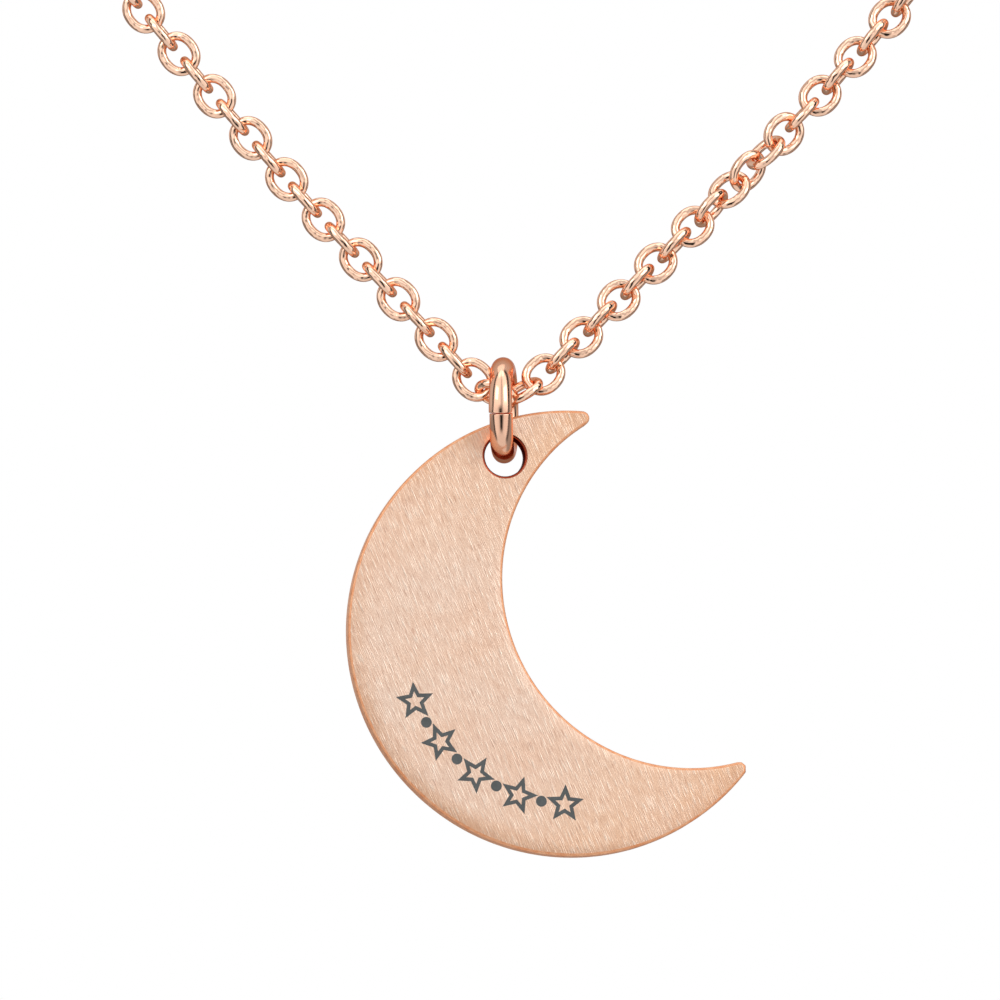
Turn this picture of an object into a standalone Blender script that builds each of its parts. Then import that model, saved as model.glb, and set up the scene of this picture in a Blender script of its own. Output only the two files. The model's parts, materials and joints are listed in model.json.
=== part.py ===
"""A crescent pendant on a cable chain, hung in a closed loop as a wearer's neck holds it.

The frame is the wearer's: +X to the viewer's right, +Y to the wearer's back, +Z up.
The origin is at the nape, in the middle of the clasp, where the loop rests on the neck.
The crescent hangs in front on a split ring.
Both strands rise from it and run round the neck to a lobster clasp.
"""

import math

import bmesh
import bpy
import numpy as np
from mathutils import Matrix, Vector

MM = 0.001

# Place of the split ring's centre, from the nape. Everything in front is set out from it.
RING_CENTRE = np.array([0.0, -106.0, -100.5]) * MM

# Cable chain
WIRE = 0.43 * MM
LINK_LENGTH = 2.31 * MM
LINK_WIDTH = 2.0 * MM
PITCH = 1.36 * MM
LEFT_FIRST_PITCHES = (1.33 * MM,)
RIGHT_FIRST_PITCHES = (1.40 * MM, 1.42 * MM)
LEFT_LINKS = 20
RIGHT_LINKS = 21
LINK_STEPS = 14

# Roll of the links about the strand, in degrees. A flat-lying link faces FACING.
FACING = Vector((-0.138, -0.982, -0.131)).normalized()
LEFT_ROLL = 10.0
CENTRE_ROLLS = (59.0, 121.0)
RIGHT_ROLL = -10.0
TWIST_START = 8
TWIST_LINKS = 7
TWIST_TOTAL = -90.0

# Middle line of the chain from the vertex over the split ring, in mm from the ring's centre.
VERTEX = (0.36, 0.0, 0.62)
LEFT_ROUTE = (
    (-0.92, 0.1, 1.09), (-1.91, 0.27, 2.08), (-8.61, 1.5, 9.45), (-17.42, 3.0, 19.93),
    (-31.0, 6.5, 37.5),
    (-44.5, 12.5, 57.0), (-55.0, 23.0, 75.0), (-60.0, 40.0, 88.5), (-58.5, 60.0, 96.0),
    (-50.5, 79.0, 99.5), (-37.0, 94.0, 100.5), (-21.0, 103.2, 100.5), (-8.05, 106.0, 100.5),
)
RIGHT_ROUTE = (
    (1.57, 0.1, 1.38), (2.6, 0.27, 2.4), (9.9, 1.5, 9.78), (19.75, 3.0, 20.37),
    (32.5, 6.5, 37.5),
    (45.0, 12.5, 57.0), (55.2, 23.0, 75.0), (60.0, 40.0, 88.5), (58.5, 60.0, 96.0),
    (50.5, 79.0, 99.5), (37.0, 94.0, 100.5), (21.0, 103.2, 100.5), (8.1, 106.0, 100.5),
)
RUN_STEP = 4.2 * MM
RUN_END_GAP = 0.1 * MM

# Split ring, which leans a hair to the right, its seam just below the middle of the front
RING_SHIFT = (0.06 * MM, 0.0, 0.03 * MM)
RING_WIRE = 1.13 * MM
RING_OUTER = 5.31 * MM
RING_YAW = 12.6
SEAM_DROP = 12.5
SEAM_GAP = 2.6
RING_STEPS = 30

# Heights of the two hanging axes above the split ring's centre: links to ring, ring to crescent
SWAY_HEIGHT = 0.4 * MM
SWING_HEIGHT = -2.09 * MM

# Crescent: an outer disc less an offset bite, in mm from the ring's centre
PLATE_THICKNESS = 1.0 * MM
DISC_CENTRE = (3.33, -11.03)
DISC_RADIUS = 11.06
BITE_CENTRE = (9.2, -8.38)
BITE_RADIUS = 9.26
HORN_RADIUS = 0.35
HOLE_CENTRE = (0.06, -2.31)
HOLE_RADIUS = 1.0
RIM_BEVEL = 0.12 * MM

# Lobster clasp, in mm along its length from the tail eye, and across it
CLASP_TAIL_X = -4.2
CLASP_THICKNESS = 1.8 * MM
TAIL_THICKNESS = 1.0 * MM
TAIL_RADIUS = 1.4
TAIL_HOLE = 0.75
CLAW_CENTRE = 5.6
CLAW_HALF = (3.9, 2.3)
MOUTH_CENTRE = 6.4
MOUTH_HALF = (2.2, 1.35)
GATE_WINDOW = (4.3, 6.7)
SLOT = (1.9, 4.6)
SLOT_WIDTH = 1.1 * MM
PIVOT = (3.5, 0.2)
PIN_RADIUS = 0.35
PIN_LENGTH = 1.7 * MM
LEVER_THICKNESS = 0.9 * MM
CLASP_RING_WIRE = 0.7
CLASP_RING_OUTER = 4.0
END_RING_WIRE = 0.8
END_RING_OUTER = 5.0

ROSE_GOLD = (0.86, 0.50, 0.33, 1.0)
SPRING_STEEL = (0.60, 0.60, 0.62, 1.0)


def material(name, colour, roughness):
    """A metal with one colour and one roughness."""
    metal = bpy.data.materials.new(name)
    metal.use_nodes = True
    shader = metal.node_tree.nodes["Principled BSDF"]
    shader.inputs["Base Color"].default_value = colour
    shader.inputs["Metallic"].default_value = 1.0
    shader.inputs["Roughness"].default_value = roughness
    return metal


def place(name, data, metal, matrix=Matrix()):
    """An object in the scene with its own material."""
    if not data.materials:
        data.materials.append(metal)
    piece = bpy.data.objects.new(name, data)
    piece.matrix_world = matrix
    bpy.context.collection.objects.link(piece)
    return piece


# ---- wires -------------------------------------------------------------------------------


def wire(name, points, radius, closed, sides=1):
    """A round wire along points: a curve with a bevel, and filled caps where it is open."""
    curve = bpy.data.curves.new(name, "CURVE")
    curve.dimensions = "3D"
    curve.bevel_depth = radius
    curve.bevel_resolution = sides
    curve.use_fill_caps = not closed
    line = curve.splines.new("POLY")
    line.points.add(len(points) - 1)
    for point, at in zip(line.points, points):
        point.co = (*at, 1.0)
    line.use_cyclic_u = closed
    return curve


def circle(radius, steps, first=0.0, last=360.0, ends=False):
    """Points on an arc in the XZ plane, its angles in degrees from +X towards +Z."""
    angles = np.radians(np.linspace(first, last, steps, endpoint=ends))
    return np.stack([np.cos(angles), 0 * angles, np.sin(angles)], axis=1) * radius


def oval(length, width, steps):
    """The middle line of a link: two half circles joined by straight runs, long in Z."""
    radius = width / 2
    angles = np.linspace(0, 2 * np.pi, steps, endpoint=False) + np.pi / steps
    straight = (length - width) / 2 * np.sign(np.sin(angles))
    return np.stack(
        [radius * np.cos(angles), 0 * angles, radius * np.sin(angles) + straight], axis=1
    )


# ---- the chain's middle line -------------------------------------------------------------


def spline(points, step):
    """A natural cubic curve through points, read at an even step of its parameter."""
    points = np.array(points)
    knots = np.concatenate([[0], np.cumsum(np.linalg.norm(np.diff(points, axis=0), axis=1))])
    gaps = np.diff(knots)
    count = len(points)
    system = np.eye(count)
    right = np.zeros_like(points)
    for i in range(1, count - 1):
        system[i, i - 1 : i + 2] = gaps[i - 1], 2 * (gaps[i - 1] + gaps[i]), gaps[i]
        slope_after = (points[i + 1] - points[i]) / gaps[i]
        slope_before = (points[i] - points[i - 1]) / gaps[i - 1]
        right[i] = 6 * (slope_after - slope_before)
    bend = np.linalg.solve(system, right)
    at = np.arange(0, knots[-1], step)
    i = np.clip(np.searchsorted(knots, at, side="right") - 1, 0, count - 2)
    gap = gaps[i][:, None]
    before = (at - knots[i])[:, None]
    after = gap - before
    return (
        (bend[i] * after**3 + bend[i + 1] * before**3) / (6 * gap)
        + (points[i] / gap - bend[i] * gap / 6) * after
        + (points[i + 1] / gap - bend[i + 1] * gap / 6) * before
    )


def chain_line():
    """The whole loop's middle line, from the clasp's tail round the front to its end ring."""
    route = np.array([*LEFT_ROUTE[::-1], VERTEX, *RIGHT_ROUTE]) * MM + RING_CENTRE
    return spline(route, PITCH / 40)


def waists(line, start, direction, first_pitches, count):
    """Points a pitch apart along the line, from its point start, where the links cross.

    The first pitches differ a little, because the chain bends sharply over the ring.
    """
    found = [line[start]]
    at = start
    for pitch in [*first_pitches, *[PITCH] * count][:count]:
        while np.linalg.norm(line[at] - found[-1]) < pitch:
            at += direction
        found.append(line[at])
    return np.array(found)


def link_frame(start, end, roll):
    """Centre and turn of a link between two waists: Z along the strand, X across the link."""
    along = Vector(end - start).normalized()
    front = (FACING - along * FACING.dot(along)).normalized()
    inner = along.cross(front) * -1
    angle = math.radians(roll)
    across = inner * math.cos(angle) + front * math.sin(angle)
    normal = along.cross(across)
    turn = Matrix((across, normal, along)).transposed().to_4x4()
    return Matrix.Translation(Vector((start + end) / 2)) @ turn


def right_roll(index):
    """Roll of a right-hand link: a quarter turn a link, and less through the twist."""
    twisted = min(max(index - TWIST_START, 0), TWIST_LINKS) / TWIST_LINKS
    return RIGHT_ROLL + 90.0 * index + TWIST_TOTAL * twisted


def build_chain(metal):
    """Links one by one along both strands, two plain runs round the neck, and the end links."""
    centreline = oval(LINK_LENGTH - WIRE, LINK_WIDTH - WIRE, LINK_STEPS)
    link = wire("cable_link", centreline, WIRE / 2, closed=True)
    line = chain_line()
    vertex = np.array(VERTEX) * MM + RING_CENTRE
    middle = int(np.argmin(np.linalg.norm(line - vertex, axis=1)))
    left = waists(line, middle, -1, LEFT_FIRST_PITCHES, LEFT_LINKS + 1)
    right = waists(line, middle, 1, RIGHT_FIRST_PITCHES, RIGHT_LINKS + 1)

    place("centre_link_left", link, metal, link_frame(left[1], left[0], CENTRE_ROLLS[0]))
    place("centre_link_right", link, metal, link_frame(right[0], right[1], CENTRE_ROLLS[1]))
    for i in range(LEFT_LINKS):
        frame = link_frame(left[i + 2], left[i + 1], LEFT_ROLL - 90.0 * i)
        place(f"left_link_{i:02d}", link, metal, frame)
    for i in range(RIGHT_LINKS):
        frame = link_frame(right[i + 1], right[i + 2], right_roll(i))
        place(f"right_link_{i:02d}", link, metal, frame)

    build_run("left_run", line[::-1], left[-1], line[0], metal)
    build_run("right_run", line, right[-1], line[-1], metal)
    for name, end, before in (
        ("left_end_link", line[0], line[40]),
        ("right_end_link", line[-1], line[-41]),
    ):
        along = Vector(end - before).normalized()
        across = Vector((0, 0, 1))
        turn = Matrix((across, along.cross(across), along)).transposed().to_4x4()
        place(name, link, metal, Matrix.Translation(Vector(end)) @ turn)


def build_run(name, line, last_waist, end, metal):
    """The part of a strand round the neck as one plain tube, as wide as the chain."""
    half_link = LINK_LENGTH / 2
    crossing = (LINK_LENGTH - PITCH) / 2
    from_waist = np.linalg.norm(line - last_waist, axis=1)
    from_end = np.linalg.norm(line - end, axis=1)
    start = int(np.argmin(from_waist))
    while from_waist[start] < crossing + RUN_END_GAP:
        start += 1
    stop = len(line) - 1
    while from_end[stop] < half_link + RUN_END_GAP:
        stop -= 1
    stretch = line[start : stop + 1]
    length = np.linalg.norm(np.diff(stretch, axis=0), axis=1).sum()
    picks = np.linspace(0, len(stretch) - 1, int(length / RUN_STEP) + 1).round().astype(int)
    place(name, wire(name, stretch[picks], LINK_WIDTH / 2, closed=False, sides=2), metal)


# ---- the split ring and the crescent -----------------------------------------------------


def build_split_ring(metal):
    """A round wire ring, open by a hair at the front, where the pendant is put on."""
    radius = (RING_OUTER - RING_WIRE) / 2
    first = SEAM_GAP / 2 - SEAM_DROP
    points = circle(radius, RING_STEPS, first, first + 360 - SEAM_GAP, ends=True)
    curve = wire("split_ring", points, RING_WIRE / 2, closed=False, sides=3)
    turn = Matrix.Rotation(math.radians(-90 - RING_YAW), 4, "Z")
    centre = Vector(RING_CENTRE) + Vector(RING_SHIFT)
    return place("split_ring", curve, metal, Matrix.Translation(centre) @ turn)


def arc(centre, radius, first, last, steps):
    """Points on an arc in a plane, in mm, its angles in degrees."""
    angles = np.radians(np.linspace(first, last, steps))
    return [(centre[0] + radius * math.cos(a), centre[1] + radius * math.sin(a)) for a in angles]


def direction(start, end):
    """The angle in degrees from one point to another."""
    return math.degrees(math.atan2(end[1] - start[1], end[0] - start[0]))


def horn_centre(side):
    """Centre of a horn's round tip, which touches the disc's rim and the bite's rim."""
    disc, bite = np.array(DISC_CENTRE), np.array(BITE_CENTRE)
    reach, room = DISC_RADIUS - HORN_RADIUS, BITE_RADIUS + HORN_RADIUS
    apart = np.linalg.norm(bite - disc)
    along = (reach**2 - room**2 + apart**2) / (2 * apart)
    across = math.sqrt(reach**2 - along**2)
    axis = (bite - disc) / apart
    return disc + axis * along + np.array([-axis[1], axis[0]]) * across * side


def crescent_outline():
    """The crescent, anticlockwise: disc rim, lower horn, bite rim, upper horn."""
    upper, lower = horn_centre(1), horn_centre(-1)
    rim_top = direction(DISC_CENTRE, upper)
    rim_bottom = direction(DISC_CENTRE, lower) + 360
    bite_top = direction(BITE_CENTRE, upper)
    bite_bottom = direction(BITE_CENTRE, lower) + 360
    return (
        arc(DISC_CENTRE, DISC_RADIUS, rim_top, rim_bottom, 56)[:-1]
        + arc(lower, HORN_RADIUS, rim_bottom, bite_bottom + 180, 6)[:-1]
        + arc(BITE_CENTRE, BITE_RADIUS, bite_bottom, bite_top, 40)[:-1]
        + arc(upper, HORN_RADIUS, bite_top - 180, rim_top, 6)[:-1]
    )


def plate(name, outline, thickness, metal, centre=RING_CENTRE):
    """A flat piece: an outline in the XZ plane, in mm, given a thickness along Y."""
    shape = bmesh.new()
    corners = [shape.verts.new((x * MM, -thickness / 2, z * MM)) for x, z in outline]
    face = shape.faces.new(corners)
    grown = bmesh.ops.extrude_face_region(shape, geom=[face])["geom"]
    moved = [part for part in grown if isinstance(part, bmesh.types.BMVert)]
    bmesh.ops.translate(shape, verts=moved, vec=(0, thickness, 0))
    bmesh.ops.recalc_face_normals(shape, faces=shape.faces)
    mesh = bpy.data.meshes.new(name)
    shape.to_mesh(mesh)
    shape.free()
    return place(name, mesh, metal, Matrix.Translation(Vector(centre)))


def combine(piece, tool, operation):
    """Cut a piece with a tool, or join the tool to it, by a Boolean."""
    tool.hide_render = True
    tool.display_type = "WIRE"
    step = piece.modifiers.new(tool.name, "BOOLEAN")
    step.operation = operation
    step.solver = "EXACT"
    step.object = tool


def bevel(piece, width):
    """A narrow chamfer along a piece's sharp edges."""
    step = piece.modifiers.new("rim", "BEVEL")
    step.width = width
    step.segments = 1
    step.limit_method = "ANGLE"
    step.angle_limit = math.radians(50)


def build_crescent(metal):
    """The flat crescent with a round hole near its upper horn."""
    moon = plate("crescent_plate", crescent_outline(), PLATE_THICKNESS, metal)
    rim = arc(HOLE_CENTRE, HOLE_RADIUS, 0, 360, 25)[:-1]
    combine(moon, plate("hole_cutter", rim, 3 * PLATE_THICKNESS, metal), "DIFFERENCE")
    bevel(moon, RIM_BEVEL)
    return moon


def axle(name, height, pieces):
    """An empty on a hanging axis, at a height above the ring's centre, that pieces turn with."""
    pivot = bpy.data.objects.new(name, None)
    pivot.matrix_world = Matrix.Translation(Vector(RING_CENTRE) + Vector((0, 0, height)))
    bpy.context.collection.objects.link(pivot)
    for piece in pieces:
        piece.parent = pivot
        piece.matrix_parent_inverse = pivot.matrix_world.inverted()
    return pivot


# ---- the lobster clasp -------------------------------------------------------------------


def ellipse(centre, half, first=0.0, last=360.0, steps=37):
    """Points on an upright ellipse arc, in mm."""
    return [
        (centre + half[0] * math.cos(a), half[1] * math.sin(a))
        for a in np.radians(np.linspace(first, last, steps))
    ]


def box(low, high):
    """Corners of a rectangle, in mm."""
    return [(low[0], low[1]), (high[0], low[1]), (high[0], high[1]), (low[0], high[1])]


def build_clasp(metal, steel):
    """A claw with a sprung lever across its mouth, a ring at its tail and a ring in its mouth."""
    centre = np.array([CLASP_TAIL_X, 0.0, 0.0]) * MM
    claw = plate("clasp_body", ellipse(CLAW_CENTRE, CLAW_HALF)[:-1], CLASP_THICKNESS, metal, centre)
    tail_rim = arc((0, 0), TAIL_RADIUS, 105, 255, 12)
    neck_rim = ellipse(CLAW_CENTRE - 0.3, (3.0, 1.8), -100, 100, 24)
    tail = plate("tail_eye", tail_rim + neck_rim, TAIL_THICKNESS, metal, centre)
    combine(claw, tail, "UNION")

    reach = 3 * CLASP_THICKNESS
    cutters = (
        ("mouth_cutter", ellipse(MOUTH_CENTRE, MOUTH_HALF, steps=29)[:-1], reach),
        ("window_cutter", box((GATE_WINDOW[0], 0.6), (GATE_WINDOW[1], 4.0)), reach),
        ("slot_cutter", box((SLOT[0], -4.0), (SLOT[1], 4.0)), SLOT_WIDTH),
        ("eye_cutter", arc((0, 0), TAIL_HOLE, 0, 360, 17)[:-1], reach),
        ("pin_hole_cutter", arc(PIVOT, PIN_RADIUS + 0.03, 0, 360, 13)[:-1], reach),
    )
    for name, outline, depth in cutters:
        combine(claw, plate(name, outline, depth, metal, centre), "DIFFERENCE")

    pin_rim = arc((0, 0), PIN_RADIUS, 0, 360, 13)[:-1]
    pivot = centre + np.array([PIVOT[0], 0.0, PIVOT[1]]) * MM
    plate("clasp_pin", pin_rim, PIN_LENGTH, steel, pivot)
    build_lever(metal, pivot)
    build_spring(steel, centre)

    for name, outer, width, middle in (
        ("clasp_ring", CLASP_RING_OUTER, CLASP_RING_WIRE, CLASP_TAIL_X - 1.9),
        ("end_ring", END_RING_OUTER, END_RING_WIRE, CLASP_TAIL_X + 9.95),
    ):
        points = circle((outer - width) / 2 * MM, 20)
        lying = Matrix.Rotation(math.radians(90), 4, "X")
        at = Matrix.Translation((middle * MM, 0, 0))
        place(name, wire(name, points, width / 2 * MM, closed=True), metal, at @ lying)


def build_lever(metal, pivot):
    """The gate and its thumb tab in one piece, turning on the pin. The origin is on the pin."""
    gate = [(0.78, 0.25), (1.8, 0.62), (2.9, 0.45), (3.6, 0.28), (3.62, 0.85), (2.9, 1.2)]
    crown = [(1.9, 1.55), (0.8, 1.3), (0.2, 0.95), (-0.4, 0.75), (-0.75, 0.2)]
    tab = [(-0.72, -0.9), (-1.0, -2.3), (-1.5, -3.0), (-0.9, -3.2), (-0.2, -2.5), (0.2, -1.0)]
    outline = gate + crown + tab + [(0.7, -0.35)]
    lever = plate("clasp_lever", outline, LEVER_THICKNESS, metal, pivot)
    rim = arc((0, 0), PIN_RADIUS + 0.05, 0, 360, 13)[:-1]
    cutter = plate("lever_hole_cutter", rim, 3 * LEVER_THICKNESS, metal, pivot)
    combine(lever, cutter, "DIFFERENCE")


def build_spring(steel, centre):
    """A small coil in the slot, between the claw's tail and the back of the thumb tab."""
    turns, steps, coil, length = 3, 8, 0.26, 0.62
    count = turns * steps + 1
    angles = np.linspace(0, 2 * np.pi * turns, count)
    points = np.stack(
        [
            SLOT[0] + 0.1 + np.linspace(0, length, count),
            coil * np.cos(angles),
            -0.75 + coil * np.sin(angles),
        ],
        axis=1,
    )
    spring = wire("clasp_spring", points * MM, 0.05 * MM, closed=False)
    place("clasp_spring", spring, steel, Matrix.Translation(Vector(centre)))


def main():
    for old in list(bpy.data.objects):
        bpy.data.objects.remove(old, do_unlink=True)
    polished = material("polished_rose_gold", ROSE_GOLD, 0.12)
    satin = material("satin_rose_gold", ROSE_GOLD, 0.38)
    steel = material("spring_steel", SPRING_STEEL, 0.3)
    build_chain(polished)
    swing = axle("swing_axis", SWING_HEIGHT, [build_crescent(satin)])
    axle("sway_axis", SWAY_HEIGHT, [build_split_ring(polished), swing])
    build_clasp(polished, steel)


main()
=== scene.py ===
"""Looks of the crescent pendant necklace: interlinked links, worked metal and its finishes.

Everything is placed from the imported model: link centres and axes from its joints, the pendant from
the crescent's hinge, and the end links and rings from the boxes of their nodes. Metres, +Z up.
"""

import json
import math

import bmesh
import bpy
import numpy as np
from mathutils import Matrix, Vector


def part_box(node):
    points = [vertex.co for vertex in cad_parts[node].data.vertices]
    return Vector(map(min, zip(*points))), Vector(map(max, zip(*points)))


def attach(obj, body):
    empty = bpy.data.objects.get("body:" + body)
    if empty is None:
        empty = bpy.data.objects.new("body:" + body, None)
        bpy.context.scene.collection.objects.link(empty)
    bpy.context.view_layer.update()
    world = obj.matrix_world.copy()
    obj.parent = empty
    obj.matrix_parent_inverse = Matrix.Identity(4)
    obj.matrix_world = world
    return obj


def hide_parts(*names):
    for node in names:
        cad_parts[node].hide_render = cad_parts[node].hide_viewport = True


bl_info = {
    "name": "Crescent Necklace",
    "version": (1, 0, 0),
    "blender": (4, 5, 0),
    "location": "View3D > Sidebar > Necklace",
    "description": "Builds a crescent pendant necklace around its packed frame",
    "category": "Add Mesh",
}

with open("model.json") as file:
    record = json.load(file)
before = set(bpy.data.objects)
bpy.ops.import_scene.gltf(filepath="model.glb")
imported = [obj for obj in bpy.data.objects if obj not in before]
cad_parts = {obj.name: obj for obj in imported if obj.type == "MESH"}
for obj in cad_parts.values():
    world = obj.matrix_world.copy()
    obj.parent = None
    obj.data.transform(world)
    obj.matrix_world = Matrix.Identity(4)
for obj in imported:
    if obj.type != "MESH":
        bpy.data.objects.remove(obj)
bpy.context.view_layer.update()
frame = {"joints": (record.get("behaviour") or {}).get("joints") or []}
MM = 0.001

# Centre that the pendant's pieces are set out from: a fixed height above the crescent's hinge
SWING_HEIGHT = -2.09 * MM
JOINTS = {joint["name"]: joint for joint in frame["joints"]}
RING_CENTRE = np.array(JOINTS["pendant_swing"]["pos_m"]) - [0.0, 0.0, SWING_HEIGHT]

# Chain: the direction that a link with no roll faces, and rolls in degrees about the strand
PITCH = 1.36 * MM
FACING = np.array([-0.138, -0.982, -0.131])
LEFT_ROLL, RIGHT_ROLL = 4.0, -10.0
CENTRE_ROLLS = {"centre_link_left": 59.0, "centre_link_right": 110.0}
LEFT_LINKS, RIGHT_LINKS = 20, 21
TWIST_START, TWIST_LINKS, TWIST_TOTAL = 8, 7, -90.0
LINK_POWER = 2.15  # 2 is an ellipse, and more is squarer
END_STEPS = 40  # steps of a strand's middle line in one pitch, where its end's direction is read

# Middle line of each strand round the neck, in mm from the split ring's centre
LEFT_ROUTE = (
    (-8.61, 1.5, 9.45), (-17.42, 3.0, 19.93), (-31.0, 6.5, 37.5), (-44.5, 12.5, 57.0),
    (-55.0, 23.0, 75.0), (-60.0, 40.0, 88.5), (-58.5, 60.0, 96.0), (-50.5, 79.0, 99.5),
    (-37.0, 94.0, 100.5), (-21.0, 103.2, 100.5), (-8.05, 106.0, 100.5),
)
RIGHT_ROUTE = (
    (9.9, 1.5, 9.78), (19.75, 3.0, 20.37), (32.5, 6.5, 37.5), (45.0, 12.5, 57.0),
    (55.2, 23.0, 75.0), (60.0, 40.0, 88.5), (58.5, 60.0, 96.0), (50.5, 79.0, 99.5),
    (37.0, 94.0, 100.5), (21.0, 103.2, 100.5), (8.1, 106.0, 100.5),
)

# Split ring: its lean, its turn about Z, and how far below the middle of the front its seam is
RING_SHIFT = np.array([0.06, 0.0, 0.03]) * MM
RING_YAW = 12.6
SEAM_DROP = 11.5
SEAM_GAP = 1.3
SEAM_STEP = 0.035 * MM
SEAM_BEND = 50  # degrees of the ring over which its second end steps aside

# Crescent, in mm from the split ring's centre
PLATE_HALF = 0.5
DISC_CENTRE, DISC_RADIUS = np.array([3.33, -11.03]), 11.06
BITE_CENTRE, BITE_RADIUS = np.array([9.2, -8.38]), 9.26
HORN_RADIUS = 0.35
HOLE_CENTRE, HOLE_RADIUS = np.array([0.06, -2.31]), 1.0
MOTIF_RADIUS = 8.5
MOTIF_SPAN = (204.5, 268.0)
MOTIF_STEPS = 9
MOTIF_SUNK, MOTIF_PROUD = 0.02, 0.008
STAR_OUTER, STAR_INNER = (0.98, 0.44), (0.50, 0.225)
DOT_RADIUS = 0.27

# Clasp, in mm along X from its tail eye
CLASP_TAIL = np.array([-4.2, 0.0, 0.0])
CLAW_CENTRE, CLAW_HALF = 5.6, (3.9, 2.3)
MOUTH_CENTRE, MOUTH_HALF = 6.4, (2.2, 1.35)
PIVOT = np.array([3.5, 0.0, 0.2])
LEVER_OUTLINE = (
    (0.78, 0.25), (1.8, 0.62), (2.9, 0.45), (3.6, 0.28), (3.62, 0.85), (2.9, 1.2), (1.9, 1.55),
    (0.8, 1.3), (0.2, 0.95), (-0.4, 0.75), (-0.75, 0.2), (-0.72, -0.9), (-1.0, -2.3),
    (-1.5, -3.0), (-0.9, -3.2), (-0.2, -2.5), (0.2, -1.0), (0.7, -0.35),
)
LEVER_HALF, LEVER_ROUND = 0.44, 0.12
SLOT_LOW, SLOT_HIGH = (1.9, -0.55, -4.0), (4.5, 0.55, 4.0)
PIN_RADIUS, PIN_HALF, PIN_DOME = 0.33, 0.83, 0.07
SPRING_START = np.array([1.97, 0.0, -0.60])
SPRING_TURNS, SPRING_RADIUS, SPRING_LENGTH, SPRING_WIRE = 3, 0.20, 0.25, 0.055
RING_SEAM = np.array([0.6, -0.8, 0.0])

# Satin, in mm from the split ring's centre: the belly that is greyer, and how far that reaches
BELLY = (-2.5, 0.0, -13.5)
BELLY_REACH = (5.0, 14.0)
# Painted shade: a deeper tone of the satin near the disc's rim, how wide and how strong
PAINTED_RIM_SHADE = (0.84, 0.47, 0.27, 1.0)
PAINTED_RIM_SHADE_WIDTH, PAINTED_RIM_SHADE_SHARE = 1.2, 0.8
# Brush strokes: slant in degrees, and each kind's fineness in X, Y and Z and limits of its noise
STROKE_SLANT = 23.0
STROKES = (
    ("Light", (21000.0, 1.0, 1250.0), 0.50, 0.74),
    ("Dark", (20000.0, 1.0, 1500.0), 0.53, 0.76),
    ("Grain", (24000.0, 1.0, 11000.0), 0.34, 0.66),
)
# Share and colour of each kind of stroke, in the order that they are laid on
STROKE_PAINTS = (
    ("Grain", 0.30, (0.62, 0.33, 0.22, 1.0)),
    ("Light", 0.66, (1.0, 0.90, 0.78, 1.0)),
    ("Dark", 0.70, (0.56, 0.29, 0.19, 1.0)),
)

# Studio glow by bearing in degrees, 0 in front and growing to the right. The first ramp is read
# above eye level and the second below it, and straight down there is one plain glow
FRONT_TURN = math.radians(-8.0)
GLOW_ABOVE = (
    (-180, 0.60), (-106, 0.70), (-98, 0.05), (-87, 0.06), (-79, 1.25), (-18, 1.30), (-9, 0.72),
    (7, 0.72), (14, 1.45), (62, 1.50), (69, 0.02), (84, 0.02), (93, 0.70), (179, 0.60),
)
GLOW_BELOW = (
    (-180, 0.30), (-110, 0.34), (-102, 0.05), (-94, 0.05), (-86, 1.10), (-42, 0.90), (-30, 0.45),
    (-22, 0.02), (-5, 0.02), (6, 0.50), (16, 0.95), (58, 1.05), (65, 0.12), (77, 0.12), (88, 0.40),
)
GLOW_UNDER = 0.85
EYE_BAND, UNDER_BAND = (-0.10, 0.12), (-0.88, -0.74)


# ---- properties --------------------------------------------------------------------------


class NecklaceSizes(bpy.types.PropertyGroup):
    """Sizes that a maker would change, in metres."""

    link_wire: bpy.props.FloatProperty(
        name="Link wire", description="Thickness of the links' wire",
        default=0.00045, min=0.0001, unit="LENGTH", precision=5,
    )
    link_length: bpy.props.FloatProperty(
        name="Link length", description="Outer length of one link",
        default=0.00231, min=0.001, unit="LENGTH", precision=5,
    )
    link_width: bpy.props.FloatProperty(
        name="Link width", description="Outer width of one link",
        default=0.00200, min=0.001, unit="LENGTH", precision=5,
    )
    ring_wire: bpy.props.FloatProperty(
        name="Split ring wire", description="Thickness of the split ring's wire",
        default=0.00115, min=0.0002, unit="LENGTH", precision=5,
    )
    ring_outer: bpy.props.FloatProperty(
        name="Split ring width", description="Outer width of the split ring",
        default=0.00526, min=0.001, unit="LENGTH", precision=5,
    )
    rim_round: bpy.props.FloatProperty(
        name="Rim rounding", description="Radius of the crescent's rounded edges",
        default=0.00013, min=0.00001, unit="LENGTH", precision=5,
    )


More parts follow.
